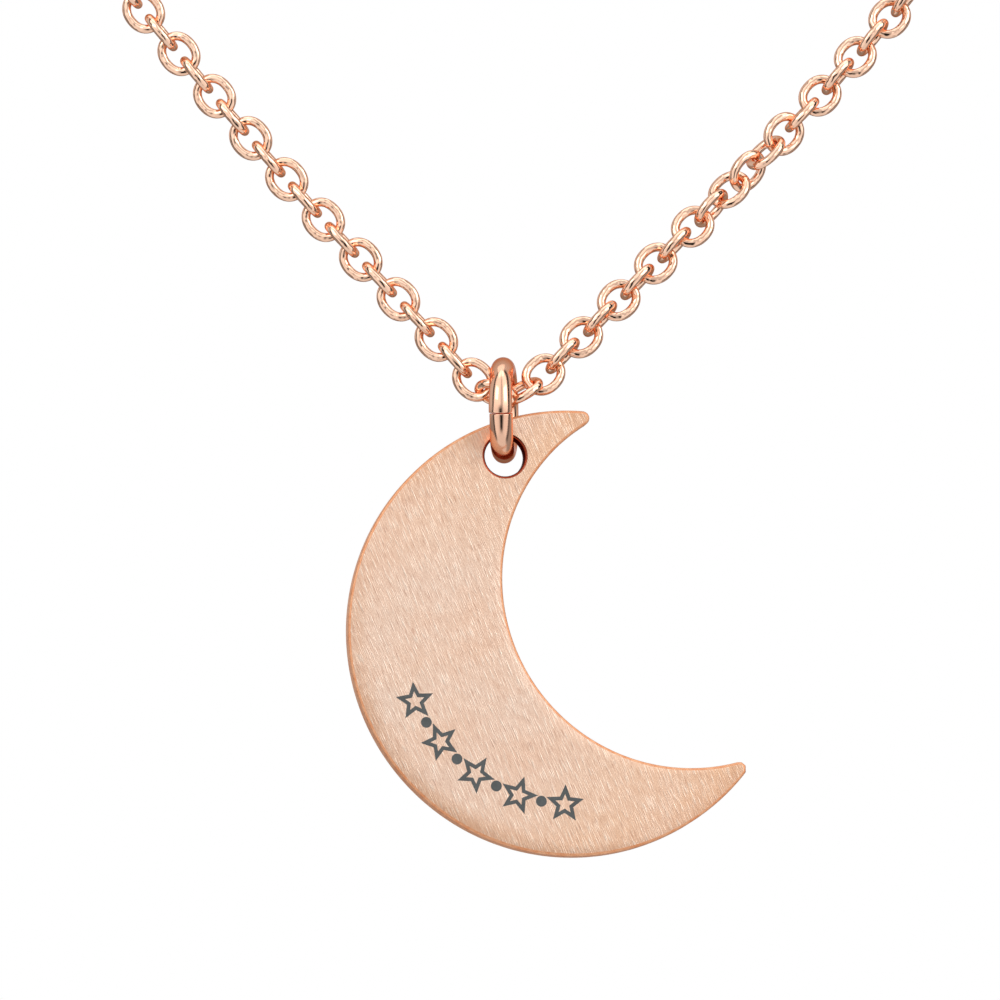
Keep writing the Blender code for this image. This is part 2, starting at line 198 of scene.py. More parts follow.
class NecklaceColours(bpy.types.PropertyGroup):
    """Colours of the finishes, and the painted light and shade on some of them."""

    polished: bpy.props.FloatVectorProperty(
        name="Polished", description="Rose gold of the rings and the clasp",
        subtype="COLOR", size=4, min=0, max=1, default=(0.90, 0.545, 0.385, 1),
    )
    # Painted light: the links are the rings' rose gold, painted paler for the brighter light they
    # catch
    wire: bpy.props.FloatVectorProperty(
        name="Wire", description="Paler rose gold of the links' drawn wire",
        subtype="COLOR", size=4, min=0, max=1, default=(0.95, 0.63, 0.465, 1),
    )
    satin: bpy.props.FloatVectorProperty(
        name="Satin", description="Rose gold of the crescent's brushed faces",
        subtype="COLOR", size=4, min=0, max=1, default=(0.995, 0.755, 0.605, 1),
    )
    satin_warm: bpy.props.FloatVectorProperty(
        name="Warm satin", description="Warmer rose gold of the brushed faces near the horns",
        subtype="COLOR", size=4, min=0, max=1, default=(1.0, 0.61, 0.37, 1),
    )
    # Painted shade and bounced light: the rim's deeper orange stands in for the light the edge gets;
    # its duller filed finish is real
    rim: bpy.props.FloatVectorProperty(
        name="Rim", description="Deeper orange of the crescent's filed edge",
        subtype="COLOR", size=4, min=0, max=1, default=(0.78, 0.40, 0.22, 1),
    )
    # Painted shade: the hole's inner wall is the same rose gold, painted dark maroon for the shade
    # inside the hole
    bore_painted_shade: bpy.props.FloatVectorProperty(
        name="Bore", description="Dark inner wall of the crescent's hole",
        subtype="COLOR", size=4, min=0, max=1, default=(0.36, 0.085, 0.045, 1),
    )
    motif: bpy.props.FloatVectorProperty(
        name="Motif", description="Dark engraved row of stars and dots",
        subtype="COLOR", size=4, min=0, max=1, default=(0.075, 0.083, 0.083, 1),
    )
    steel: bpy.props.FloatVectorProperty(
        name="Steel", description="The clasp's pin and spring",
        subtype="COLOR", size=4, min=0, max=1, default=(0.56, 0.55, 0.54, 1),
    )


# ---- shader groups and materials ---------------------------------------------------------


def new_group(name, inputs, outputs):
    """A shader node group with named float, colour or vector sockets."""
    group = bpy.data.node_groups.new(name, "ShaderNodeTree")
    for socket, kind, value in inputs:
        made = group.interface.new_socket(name=socket, in_out="INPUT", socket_type=kind)
        if value is not None:
            made.default_value = value
    for socket, kind in outputs:
        group.interface.new_socket(name=socket, in_out="OUTPUT", socket_type=kind)
    start = group.nodes.new("NodeGroupInput")
    end = group.nodes.new("NodeGroupOutput")
    return group, start, end


def add(tree, kind, **values):
    """A node with its settings, and its inputs by name."""
    node = tree.nodes.new(kind)
    for key, value in values.items():
        if key in node.bl_rna.properties.keys():
            setattr(node, key, value)
        else:
            node.inputs[key.replace("_", " ")].default_value = value
    return node


def alloy_tone():
    """Rose gold whose colour wanders a little, as copper-rich alloy does, over millimetres."""
    group, start, end = new_group(
        "alloy_tone",
        [("Vector", "NodeSocketVector", None), ("Colour", "NodeSocketColor", (1, 1, 1, 1)),
         ("Deep", "NodeSocketColor", (1, 1, 1, 1)), ("Scale", "NodeSocketFloat", 400.0)],
        [("Colour", "NodeSocketColor")],
    )
    noise = add(group, "ShaderNodeTexNoise", Detail=3.0, Roughness=0.6)
    ramp = add(group, "ShaderNodeMapRange", From_Min=0.35, From_Max=0.7)
    mix = add(group, "ShaderNodeMix", data_type="RGBA")
    link = group.links.new
    link(start.outputs["Vector"], noise.inputs["Vector"])
    link(start.outputs["Scale"], noise.inputs["Scale"])
    link(noise.outputs["Fac"], ramp.inputs["Value"])
    link(ramp.outputs["Result"], mix.inputs["Factor"])
    link(start.outputs["Colour"], mix.inputs["A"])
    link(start.outputs["Deep"], mix.inputs["B"])
    link(mix.outputs["Result"], end.inputs["Colour"])
    return group


def handling_wear():
    """Hairlines and haze of handled polished metal: roughness, and a height for the bump."""
    group, start, end = new_group(
        "handling_wear",
        [("Vector", "NodeSocketVector", None), ("Smooth", "NodeSocketFloat", 0.05),
         ("Worn", "NodeSocketFloat", 0.2), ("Scale", "NodeSocketFloat", 2500.0),
         ("Ripple", "NodeSocketFloat", 900.0)],
        [("Roughness", "NodeSocketFloat"), ("Height", "NodeSocketFloat")],
    )
    haze = add(group, "ShaderNodeTexNoise", Detail=5.0, Roughness=0.65)
    ripple = add(group, "ShaderNodeTexNoise", Detail=1.0)
    spread = add(group, "ShaderNodeMapRange", From_Min=0.42, From_Max=0.75)
    link = group.links.new
    link(start.outputs["Vector"], haze.inputs["Vector"])
    link(start.outputs["Scale"], haze.inputs["Scale"])
    link(start.outputs["Vector"], ripple.inputs["Vector"])
    link(start.outputs["Ripple"], ripple.inputs["Scale"])
    link(haze.outputs["Fac"], spread.inputs["Value"])
    link(start.outputs["Smooth"], spread.inputs["To Min"])
    link(start.outputs["Worn"], spread.inputs["To Max"])
    link(spread.outputs["Result"], end.inputs["Roughness"])
    link(ripple.outputs["Fac"], end.inputs["Height"])
    return group


def brush_strokes():
    """Short satin strokes: noise drawn out along one slanted line, pale ones and dark ones.

    The grain is finer noise, drawn out less. The height is the grain plus the pale strokes.
    """
    group, start, end = new_group(
        "brush_strokes",
        [("Vector", "NodeSocketVector", None), ("Slant", "NodeSocketVector", (0, 0, 0))],
        [("Light", "NodeSocketFloat"), ("Dark", "NodeSocketFloat"), ("Grain", "NodeSocketFloat"),
         ("Height", "NodeSocketFloat")],
    )
    link = group.links.new
    turned = add(group, "ShaderNodeVectorRotate", rotation_type="EULER_XYZ")
    link(start.outputs["Vector"], turned.inputs["Vector"])
    link(start.outputs["Slant"], turned.inputs["Rotation"])
    masks = {}
    for name, scale, low, high in STROKES:
        drawn = add(group, "ShaderNodeMapping", Scale=scale)
        drawn.inputs["Location"].default_value = (scale[0] * 0.01, 0.0, 3.0)
        noise = add(group, "ShaderNodeTexNoise", Scale=1.0, Detail=2.0, Roughness=0.5)
        mask = add(group, "ShaderNodeMapRange", From_Min=low, From_Max=high)
        link(turned.outputs["Vector"], drawn.inputs["Vector"])
        link(drawn.outputs["Vector"], noise.inputs["Vector"])
        link(noise.outputs["Fac"], mask.inputs["Value"])
        link(mask.outputs["Result"], end.inputs[name])
        masks[name] = mask.outputs["Result"]
    height = add(group, "ShaderNodeMath", operation="MULTIPLY_ADD")
    height.inputs[1].default_value = 0.35
    link(masks["Grain"], height.inputs[0])
    link(masks["Light"], height.inputs[2])
    link(height.outputs[0], end.inputs["Height"])
    return group


def metal(name, roughness):
    """A material whose Principled shader is a metal, and its tree."""
    made = bpy.data.materials.new(name)
    made.use_nodes = True
    tree = made.node_tree
    shader = tree.nodes["Principled BSDF"]
    shader.inputs["Metallic"].default_value = 1.0
    shader.inputs["Roughness"].default_value = roughness
    place = tree.nodes.new("ShaderNodeTexCoord")
    return made, tree, shader, place.outputs["Object"]


def use_group(tree, group, **values):
    """A group placed in a material with its own values."""
    node = tree.nodes.new("ShaderNodeGroup")
    node.node_tree = group
    for key, value in values.items():
        node.inputs[key].default_value = value
    return node


def add_bump(tree, shader, height, strength, distance):
    """A bump from a height, fed to the shader's normal."""
    bump = add(tree, "ShaderNodeBump", Strength=strength, Distance=distance)
    tree.links.new(height, bump.inputs["Height"])
    tree.links.new(bump.outputs["Normal"], shader.inputs["Normal"])


def deeper(colour, power):
    """A colour's deeper tone: each channel to a power."""
    return tuple(channel**power for channel in colour[:3]) + (1.0,)


def polished_metal(name, colour, smooth, worn, ripple, fine=900.0, depth=0.02 * MM, lacquer=0.0):
    """Bright metal with a little haze and soft ripples, of a deeper tone where seen edge-on."""
    made, tree, shader, at = metal(name, smooth)
    shader.inputs["Specular Tint"].default_value = deeper(colour, 2.0)
    shader.inputs["Coat Weight"].default_value = lacquer
    tone = use_group(tree, bpy.data.node_groups["alloy_tone"], Colour=colour,
                     Deep=deeper(colour, 1.12))
    wear = use_group(tree, bpy.data.node_groups["handling_wear"], Smooth=smooth, Worn=worn,
                     Ripple=fine)
    link = tree.links.new
    link(at, tone.inputs["Vector"])
    link(at, wear.inputs["Vector"])
    link(tone.outputs["Colour"], shader.inputs["Base Color"])
    link(wear.outputs["Roughness"], shader.inputs["Roughness"])
    add_bump(tree, shader, wear.outputs["Height"], ripple, depth)
    return made


def rim_metal(name, colour):
    """Filed edge: half metal and half dull with a little grain, and a deeper orange that is painted
    shade and bounced light.
    """
    made, tree, shader, at = metal(name, 0.45)
    shader.inputs["Metallic"].default_value = 0.45
    tone = use_group(tree, bpy.data.node_groups["alloy_tone"], Colour=colour,
                     Deep=deeper(colour, 1.45), Scale=2600.0)
    tree.links.new(at, tone.inputs["Vector"])
    tree.links.new(tone.outputs["Colour"], shader.inputs["Base Color"])
    return made


def satin_metal(colour, warm):
    """Brushed face: greyer in the belly, warmer towards the horns, and painted shade of deeper
    orange near the disc's rim.

    Over these tones lie the grain, the pale strokes and the dark strokes, in that order.
    """
    made, tree, shader, at = metal("satin_rose_gold", 0.36)
    link = tree.links.new
    reach = add(tree, "ShaderNodeVectorMath", operation="DISTANCE")
    reach.inputs[1].default_value = Vector(RING_CENTRE) + Vector(BELLY) * MM
    link(at, reach.inputs[0])
    blend = add(tree, "ShaderNodeMapRange", From_Min=BELLY_REACH[0] * MM,
                From_Max=BELLY_REACH[1] * MM)
    link(reach.outputs["Value"], blend.inputs["Value"])
    body = add(tree, "ShaderNodeMix", data_type="RGBA")
    body.inputs["A"].default_value = colour
    body.inputs["B"].default_value = warm
    link(blend.outputs["Result"], body.inputs["Factor"])
    # Painted shade: a band of deeper orange on the satin near the disc's rim
    from_disc = add(tree, "ShaderNodeVectorMath", operation="DISTANCE")
    disc = Vector((DISC_CENTRE[0], 0, DISC_CENTRE[1]))
    from_disc.inputs[1].default_value = Vector(RING_CENTRE) + disc * MM
    link(at, from_disc.inputs[0])
    rim_shade_mask = add(tree, "ShaderNodeMapRange", interpolation_type="SMOOTHSTEP",
              From_Min=(DISC_RADIUS - PAINTED_RIM_SHADE_WIDTH) * MM, From_Max=DISC_RADIUS * MM,
              To_Max=PAINTED_RIM_SHADE_SHARE)
    link(from_disc.outputs["Value"], rim_shade_mask.inputs["Value"])
    rim_shaded = add(tree, "ShaderNodeMix", data_type="RGBA")
    rim_shaded.inputs["B"].default_value = PAINTED_RIM_SHADE
    link(rim_shade_mask.outputs["Result"], rim_shaded.inputs["Factor"])
    link(body.outputs["Result"], rim_shaded.inputs["A"])
    tone = use_group(tree, bpy.data.node_groups["alloy_tone"], Deep=deeper(colour, 1.3),
                     Scale=260.0)
    strokes = use_group(tree, bpy.data.node_groups["brush_strokes"],
                        Slant=(0.0, math.radians(STROKE_SLANT), 0.0))
    link(at, tone.inputs["Vector"])
    link(at, strokes.inputs["Vector"])
    link(rim_shaded.outputs["Result"], tone.inputs["Colour"])
    shade = tone.outputs["Colour"]
    for mask, share, paint in STROKE_PAINTS:
        part = add(tree, "ShaderNodeMath", operation="MULTIPLY")
        part.inputs[1].default_value = share
        link(strokes.outputs[mask], part.inputs[0])
        mix = add(tree, "ShaderNodeMix", data_type="RGBA")
        mix.inputs["B"].default_value = paint
        link(part.outputs[0], mix.inputs["Factor"])
        link(shade, mix.inputs["A"])
        shade = mix.outputs["Result"]
    link(shade, shader.inputs["Base Color"])
    rough = add(tree, "ShaderNodeMapRange", To_Min=0.42, To_Max=0.30)
    link(strokes.outputs["Light"], rough.inputs["Value"])
    link(rough.outputs["Result"], shader.inputs["Roughness"])
    add_bump(tree, shader, strokes.outputs["Height"], 0.5, 0.00001)
    return made


def motif_enamel(colour):
    """Dark matt fill of the engraved row, slightly grainy."""
    made, tree, shader, at = metal("motif_enamel", 0.55)
    shader.inputs["Metallic"].default_value = 0.0
    tone = use_group(tree, bpy.data.node_groups["alloy_tone"], Colour=colour,
                     Deep=deeper(colour, 1.1), Scale=3000.0)
    tree.links.new(at, tone.inputs["Vector"])
    tree.links.new(tone.outputs["Colour"], shader.inputs["Base Color"])
    return made


def finish_of(name):
    """A finish by name, made on first use from the scene's colours."""
    if name in bpy.data.materials:
        return bpy.data.materials[name]
    if "alloy_tone" not in bpy.data.node_groups:
        alloy_tone()
        handling_wear()
        brush_strokes()
    colours = bpy.context.scene.necklace_colours
    makers = {
        "polished_rose_gold": lambda: polished_metal(
            name, colours.polished[:], 0.12, 0.20, 0.12, lacquer=0.25),
        # The links: the rings' rose gold painted paler, standing in for brighter light on them
        "drawn_wire_painted_light": lambda: polished_metal(
            name, colours.wire[:], 0.035, 0.09, 0.9, fine=2300.0, depth=0.08 * MM, lacquer=0.05),
        # The rim: a real duller filed finish, its deeper orange painted shade and bounced light
        "satin_rim_painted_shade": lambda: rim_metal(name, colours.rim[:]),
        # The hole's inner wall: rose gold painted dark maroon as the shade inside the hole
        "hole_wall_painted_shade": lambda: polished_metal(name, colours.bore_painted_shade[:], 0.2, 0.4, 0.1),
        "satin_rose_gold": lambda: satin_metal(colours.satin[:], colours.satin_warm[:]),
        "motif_enamel": lambda: motif_enamel(colours.motif[:]),
        "spring_steel": lambda: polished_metal(name, colours.steel[:], 0.18, 0.32, 0.1),
    }
    return makers[name]()


# ---- surfaces ----------------------------------------------------------------------------


def grid_faces(rows, columns, close_rows=False, close_columns=False, start=0):
    """Quads of a grid of points, counted along its columns first, that may close on itself."""
    i = np.arange(rows if close_rows else rows - 1)[:, None]
    j = np.arange(columns if close_columns else columns - 1)[None, :]
    i_next, j_next = (i + 1) % rows, (j + 1) % columns
    quads = np.stack(
        [i * columns + j, i_next * columns + j, i_next * columns + j_next, i * columns + j_next], -1
    )
    return quads.reshape(-1, 4) + start


def make_piece(name, points, faces, finishes, body, replaced=(), which=None, weld=0.0):
    """A mesh from points in metres and faces, with its finish, body, slot and replaced nodes."""
    mesh = bpy.data.meshes.new(name)
    mesh.from_pydata(np.asarray(points).tolist(), [], [list(face) for face in faces])
    piece = bpy.data.objects.new(name, mesh)
    bpy.context.scene.collection.objects.link(piece)
    for finish in finishes:
        mesh.materials.append(finish_of(finish))
    if which is not None:
        mesh.polygons.foreach_set("material_index", np.asarray(which, dtype=np.int32))
    mesh.shade_smooth()
    if weld:
        tidy_mesh(mesh, weld)
    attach(piece, body)
    if replaced:
        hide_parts(*replaced)
    return piece


def tidy_mesh(mesh, weld):
    """Merges a mesh's doubled points, drops faces with no area, and turns all faces outwards."""
    shape = bmesh.new()
    shape.from_mesh(mesh)
    bmesh.ops.remove_doubles(shape, verts=shape.verts, dist=weld)
    bmesh.ops.dissolve_degenerate(shape, edges=shape.edges, dist=weld)
    bmesh.ops.recalc_face_normals(shape, faces=shape.faces)
    shape.to_mesh(mesh)
    shape.free()
    mesh.set_sharp_from_angle(angle=math.radians(40))


def unit(vectors):
    """Vectors made one long. One with no length stays as it is."""
    return vectors / np.maximum(np.linalg.norm(vectors, axis=-1, keepdims=True), 1e-12)


def rod(path, outward, normal, radius, sides):
    """Points of a round rod: at each path point, outward times cosine plus normal times sine."""
    turn = np.linspace(0, 2 * np.pi, sides, endpoint=False)
    radius = np.broadcast_to(radius, len(path))[:, None, None]
    ring = (
        np.cos(turn)[None, :, None] * outward[:, None]
        + np.sin(turn)[None, :, None] * normal[:, None]
    )
    return (path[:, None] + radius * ring).reshape(-1, 3)


def oval_path(length, width, steps, power):
    """A superellipse in the XZ plane and its outward normals: |x/a|^p + |z/b|^p = 1."""
    turn = np.linspace(0, 2 * np.pi, steps, endpoint=False)
    cosine, sine = np.cos(turn), np.sin(turn)
    x = width / 2 * np.sign(cosine) * np.abs(cosine) ** (2 / power)
    z = length / 2 * np.sign(sine) * np.abs(sine) ** (2 / power)
    path = np.stack([x, 0 * x, z], 1)
    along = unit(np.roll(path, -1, 0) - np.roll(path, 1, 0))
    outward = np.stack([along[:, 2], 0 * x, -along[:, 0]], 1)
    return path, outward


def link_shape(steps, sides):
    """One link at the origin, long in Z and wide in X: a round rod carried round an oval."""
    sizes = bpy.context.scene.necklace_sizes
    wire = sizes.link_wire
    path, outward = oval_path(sizes.link_length - wire, sizes.link_width - wire, steps, LINK_POWER)
    normal = np.tile([0.0, 1.0, 0.0], (steps, 1))
    return rod(path, outward, normal, wire / 2, sides), grid_faces(steps, sides, True, True)


def turn_of(along, roll):
    """Axes of links as rows X, Y, Z: Z along the strand, X across, rolled about the strand."""
    along = unit(along)
    front = unit(FACING - along * (along @ FACING)[..., None])
    inner = -np.cross(along, front)
    angle = np.radians(roll)[..., None]
    across = inner * np.cos(angle) + front * np.sin(angle)
    return np.stack([across, np.cross(along, across), along], -2)


def outward_faces(points, faces):
    """The faces, turned round if the closed surface they make is inside out."""
    a, b, c = (points[faces[:, k]] for k in range(3))
    volume = np.einsum("ij,ij->i", a, np.cross(b, c)).sum()
    return faces if volume > 0 else faces[:, ::-1]


# ---- chain -------------------------------------------------------------------------------


def link_roll(name):
    """Roll of a link about the strand: a quarter turn from link to link, less in the twist."""
    if name in CENTRE_ROLLS:
        return CENTRE_ROLLS[name]
    side, index = name.split("_link_")
    if side == "left":
        return LEFT_ROLL - 90.0 * int(index)
    twisted = min(max(int(index) - TWIST_START, 0), TWIST_LINKS) / TWIST_LINKS
    return RIGHT_ROLL + 90.0 * int(index) + TWIST_TOTAL * twisted


def link_joints():
    """The joint of each separate link, by the link's name."""
    return {joint["child"]: joint for joint in frame["joints"] if "_link_" in joint["child"]}


def smooth_line(points, step):
    """A natural cubic curve through points, read at an even step of its parameter."""
    points = np.array(points)
    knots = np.concatenate([[0], np.cumsum(np.linalg.norm(np.diff(points, axis=0), axis=1))])
    gaps = np.diff(knots)
    count = len(points)
    system = np.eye(count)
    right = np.zeros_like(points)
    slopes = np.diff(points, axis=0) / gaps[:, None]
    for i in range(1, count - 1):
        system[i, i - 1 : i + 2] = gaps[i - 1], 2 * (gaps[i - 1] + gaps[i]), gaps[i]
        right[i] = 6 * (slopes[i] - slopes[i - 1])
    bend = np.linalg.solve(system, right)
    at = np.arange(0, knots[-1], step)
    i = np.clip(np.searchsorted(knots, at, side="right") - 1, 0, count - 2)
    gap = gaps[i][:, None]
    before = (at - knots[i])[:, None]
    after = gap - before
    return (
        (bend[i] * after**3 + bend[i + 1] * before**3) / (6 * gap)
        + (points[i] / gap - bend[i] * gap / 6) * after
        + (points[i + 1] / gap - bend[i + 1] * gap / 6) * before
    )


def even_points(line, pitch):
    """Points along a line, an even distance apart that is as near the pitch as fits its length."""
    lengths = np.concatenate([[0], np.cumsum(np.linalg.norm(np.diff(line, axis=0), axis=1))])
    count = int(round(lengths[-1] / pitch))
    at = np.linspace(0, lengths[-1], count + 1)
    return np.stack([np.interp(at, lengths, line[:, k]) for k in range(3)], 1)


def carried_frames(along, first):
    """Across vectors carried along a strand with no twist: each is the last, made square again."""
    carried = [first]
    for step in along[1:]:
        last = carried[-1]
        carried.append(unit(last - step * (last @ step)))
    return np.array(carried)


def run_links(route, last, outward, end):
    """Centres and axes of the links round the neck, from the last separate link to the end link.

    Each link is a quarter turn from the one before. What the end link needs more or less is
    shared out evenly, so no two neighbours are far from square.
    """
    joint = link_joints()[last]
    axis = np.array(joint["axis"]) * outward
    centre = np.array(joint["pos_m"])
    start = centre + axis * PITCH / 2
    route = np.array([np.array(point) * MM + RING_CENTRE for point in route])
    ahead = route[(route - start) @ axis > 2 * PITCH]
    stop, stop_along = end
    points = even_points(smooth_line([start, *ahead[:-1], stop], PITCH / 20), PITCH)
    along = unit(np.diff(points, axis=0))
    first = turn_of(axis * outward, np.array(link_roll(last)))[0]
    square = unit(np.cross(first, along[0]))
    across = carried_frames(along, square)
    count = len(along)
    normal = np.cross(along, across)
    quarter = 90.0 * np.arange(count)
    up = np.array([0.0, 0.0, 1.0])
    wanted = math.degrees(math.atan2(up @ normal[-1], up @ across[-1])) + 90.0
    extra = (wanted - quarter[-1] + 90.0) % 180.0 - 90.0
    angle = np.radians(quarter + extra * np.arange(1, count + 1) / count)[:, None]
    rolled = across * np.cos(angle) + normal * np.sin(angle)
    middle = (points[1:] + points[:-1]) / 2
    return middle, np.stack([rolled, np.cross(along, rolled), along], -2)


class NECKLACE_OT_links(bpy.types.Operator):
    """Fine links of both strands, one piece on each separate link's body"""

    bl_idname = "necklace.links"
    bl_label = "Cable Links"

    def execute(self, context):
        shape, faces = link_shape(72, 20)
        faces = outward_faces(shape, faces)
        for name, joint in link_joints().items():
            turn = turn_of(np.array(joint["axis"]), np.array(link_roll(name)))
            points = shape @ turn + np.array(joint["pos_m"])
            make_piece("fine_" + name, points, faces, ["drawn_wire_painted_light"], name, [name])
        for side in ("left", "right"):
            node = side + "_end_link"
            centre, along = end_link_frame(node)
            across = np.array([0.0, 0.0, 1.0])
            turn = np.stack([across, np.cross(along, across), along])
            make_piece(
                "fine_" + node, shape @ turn + centre, faces, ["drawn_wire_painted_light"],
                "neck_loop", [node],
            )
        return {"FINISHED"}


def end_link_frame(node):
    """Centre of a strand's last link and the direction of the strand there, seen from above."""
    low, high = (np.array(corner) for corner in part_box(node))
    route = LEFT_ROUTE if node.startswith("left") else RIGHT_ROUTE
    whole = smooth_line([np.array(point) * MM + RING_CENTRE for point in route], PITCH / END_STEPS)
    along = unit(whole[-1] - whole[-END_STEPS - 1])
    along[2] = 0.0
    return (low + high) / 2, unit(along)


class NECKLACE_OT_runs(bpy.types.Operator):
    """The interlinked stretch of each strand round the neck, from its route"""

    bl_idname = "necklace.runs"
    bl_label = "Neck Runs"

    def execute(self, context):
        shape, faces = link_shape(16, 6)
        faces = outward_faces(shape, faces)
        for side, route, last, outward in (
            ("left", LEFT_ROUTE, f"left_link_{LEFT_LINKS - 1:02d}", -1),
            ("right", RIGHT_ROUTE, f"right_link_{RIGHT_LINKS - 1:02d}", 1),
        ):
            centre, along = end_link_frame(side + "_end_link")
            stop = centre - along * PITCH / 2
            middles, turns = run_links(route, last, outward, (stop, along))
            points = np.einsum("pk,lkx->lpx", shape, turns) + middles[:, None]
            starts = np.arange(len(middles))[:, None, None] * len(shape)
            make_piece(
                f"fine_{side}_run", points.reshape(-1, 3), (faces[None] + starts).reshape(-1, 4),
                ["drawn_wire_painted_light"], "neck_loop", [side + "_run"],
            )
        return {"FINISHED"}


# ---- split ring and crescent -------------------------------------------------------------


def bent_ring(outer, wire, gap, step, lead, plane_x, plane_z, steps=180, sides=40):
    """A wire ring cut at angle 0, its two ends rounded and one of them bent sideways a little.

    The middle line is a circle of (outer - wire) / 2. Near each end the rod's radius falls as a
    quarter circle of radius lead does. The second end steps aside by step times b^2 * (3 - 2b),
    where b grows from 0 to 1 over the last SEAM_BEND degrees.
    """
    radius = (outer - wire) / 2
    room = np.radians(360 - gap)
    close = np.sin(np.linspace(0, np.pi / 2, 9))[1:-1] * lead / radius
    inside = np.linspace(lead / radius * 1.02, room - lead / radius * 1.02, steps)
    from_end = np.concatenate([[0, 0], lead / radius - close[::-1], inside])
    from_end = np.concatenate([from_end, room - from_end[: len(close) + 2][::-1]])
    nearest = np.minimum(from_end, room - from_end) * radius
    fall = np.sqrt(np.clip(lead**2 - (lead - np.minimum(nearest, lead)) ** 2, 0, None))
    thick = wire / 2 - lead + fall
    thick[[0, -1]] = 0.0
    angle = from_end + np.radians(gap / 2)
    outward = np.cos(angle)[:, None] * plane_x + np.sin(angle)[:, None] * plane_z
    normal = np.cross(plane_z, plane_x)
    bend = np.clip(1 - (room - from_end) / np.radians(SEAM_BEND), 0, 1)
    path = radius * outward + (step * bend**2 * (3 - 2 * bend))[:, None] * normal
    points = rod(path, outward, np.tile(normal, (len(path), 1)), thick, sides)
    return points, grid_faces(len(path), sides, False, True)


class NECKLACE_OT_split_ring(bpy.types.Operator):
    """The split ring, its seam a hair open and just below the middle of the front"""

    bl_idname = "necklace.split_ring"
    bl_label = "Split Ring"

    def execute(self, context):
        sizes = context.scene.necklace_sizes
        yaw = math.radians(-90 - RING_YAW)
        front = np.array([math.cos(yaw), math.sin(yaw), 0.0])
        up = np.array([0.0, 0.0, 1.0])
        drop = math.radians(SEAM_DROP)
        seam = front * math.cos(drop) - up * math.sin(drop)
        above_seam = front * math.sin(drop) + up * math.cos(drop)
        points, faces = bent_ring(
            sizes.ring_outer, sizes.ring_wire, SEAM_GAP, SEAM_STEP, 0.03 * MM, seam, above_seam,
        )
        make_piece(
            "fine_split_ring", points + RING_CENTRE + RING_SHIFT, faces, ["polished_rose_gold"],
            "split_ring", ["split_ring"], weld=1e-7,
        )
        return {"FINISHED"}


def arc(centre, radius, first, last, steps):
    """Points on an arc in the crescent's plane, its angles in degrees."""
    angle = np.radians(np.linspace(first, last, steps))
    return np.asarray(centre) + radius * np.stack([np.cos(angle), np.sin(angle)], 1)


def direction(start, end):
    """The angle in degrees from one point of the plane to another."""
    return math.degrees(math.atan2(end[1] - start[1], end[0] - start[0]))


def horn_centre(side):
    """Centre of a horn's round tip, which touches the disc's rim and the bite's rim."""
    reach, room = DISC_RADIUS - HORN_RADIUS, BITE_RADIUS + HORN_RADIUS
    apart = np.linalg.norm(BITE_CENTRE - DISC_CENTRE)
    along = (reach**2 - room**2 + apart**2) / (2 * apart)
    across = math.sqrt(reach**2 - along**2)
    axis = (BITE_CENTRE - DISC_CENTRE) / apart
    return DISC_CENTRE + axis * along + np.array([-axis[1], axis[0]]) * across * side


def crescent_sides(inset):
    """The crescent's two sides, from the upper horn's tip to the lower one's, set in by inset.

    The disc side is half of the upper horn's tip, the disc's rim and half of the lower tip. The
    bite side is the other half of each tip and the bite's rim.
    """
    upper, lower = horn_centre(1), horn_centre(-1)
    disc_up, disc_down = direction(DISC_CENTRE, upper), direction(DISC_CENTRE, lower) + 360
    bite_up, bite_down = direction(BITE_CENTRE, upper), direction(BITE_CENTRE, lower) + 360
    tip = HORN_RADIUS - inset
    top_middle = (disc_up + bite_up - 180) / 2
    low_middle = (disc_down + bite_down + 180) / 2
    disc_side = np.concatenate([
        arc(upper, tip, top_middle, disc_up, 12)[:-1],
        arc(DISC_CENTRE, DISC_RADIUS - inset, disc_up, disc_down, 260)[:-1],
        arc(lower, tip, disc_down, low_middle, 12),
    ])
    bite_side = np.concatenate([
        arc(upper, tip, top_middle, bite_up - 180, 12)[:-1],
        arc(BITE_CENTRE, BITE_RADIUS + inset, bite_up, bite_down, 200)[:-1],
        arc(lower, tip, bite_down + 180, low_middle, 12),
    ])
    return disc_side, bite_side


def read_side(side, share):
    """Points on a side at shares of its length."""
    lengths = np.concatenate([[0], np.cumsum(np.linalg.norm(np.diff(side, axis=0), axis=1))])
    return np.stack([np.interp(share * lengths[-1], lengths, side[:, k]) for k in (0, 1)], 1)


def crossing(share, sides, radius):
    """Where the lines between the two sides cross the hole's circle: near, far, and how deep."""
    start, end = read_side(sides[0], share), read_side(sides[1], share)
    along = unit(end - start)
    middle = ((HOLE_CENTRE - start) * along).sum(1)
    off = HOLE_CENTRE - start - along * middle[:, None]
    depth = radius**2 - (off**2).sum(1)
    half = np.sqrt(np.clip(depth, 0, None))
    near, far = (start + along * (middle + way * half)[:, None] for way in (-1, 1))
    return near, far, depth


def hole_shares(sides, radius):
    """The first and last share whose line touches the hole's circle, by halving."""
    share = np.linspace(0.002, 0.5, 800)
    depth = crossing(share, sides, radius)[2]
    inside = np.flatnonzero(depth > 0)
    found = []
    for outer, inner in ((inside[0] - 1, inside[0]), (inside[-1] + 1, inside[-1])):
        low, high = share[outer], share[inner]
        for _ in range(40):
            middle = (low + high) / 2
            if crossing(np.array([middle]), sides, radius)[2][0] > 0:
                high = middle
            else:
                low = middle
        found.append(high)
    return found


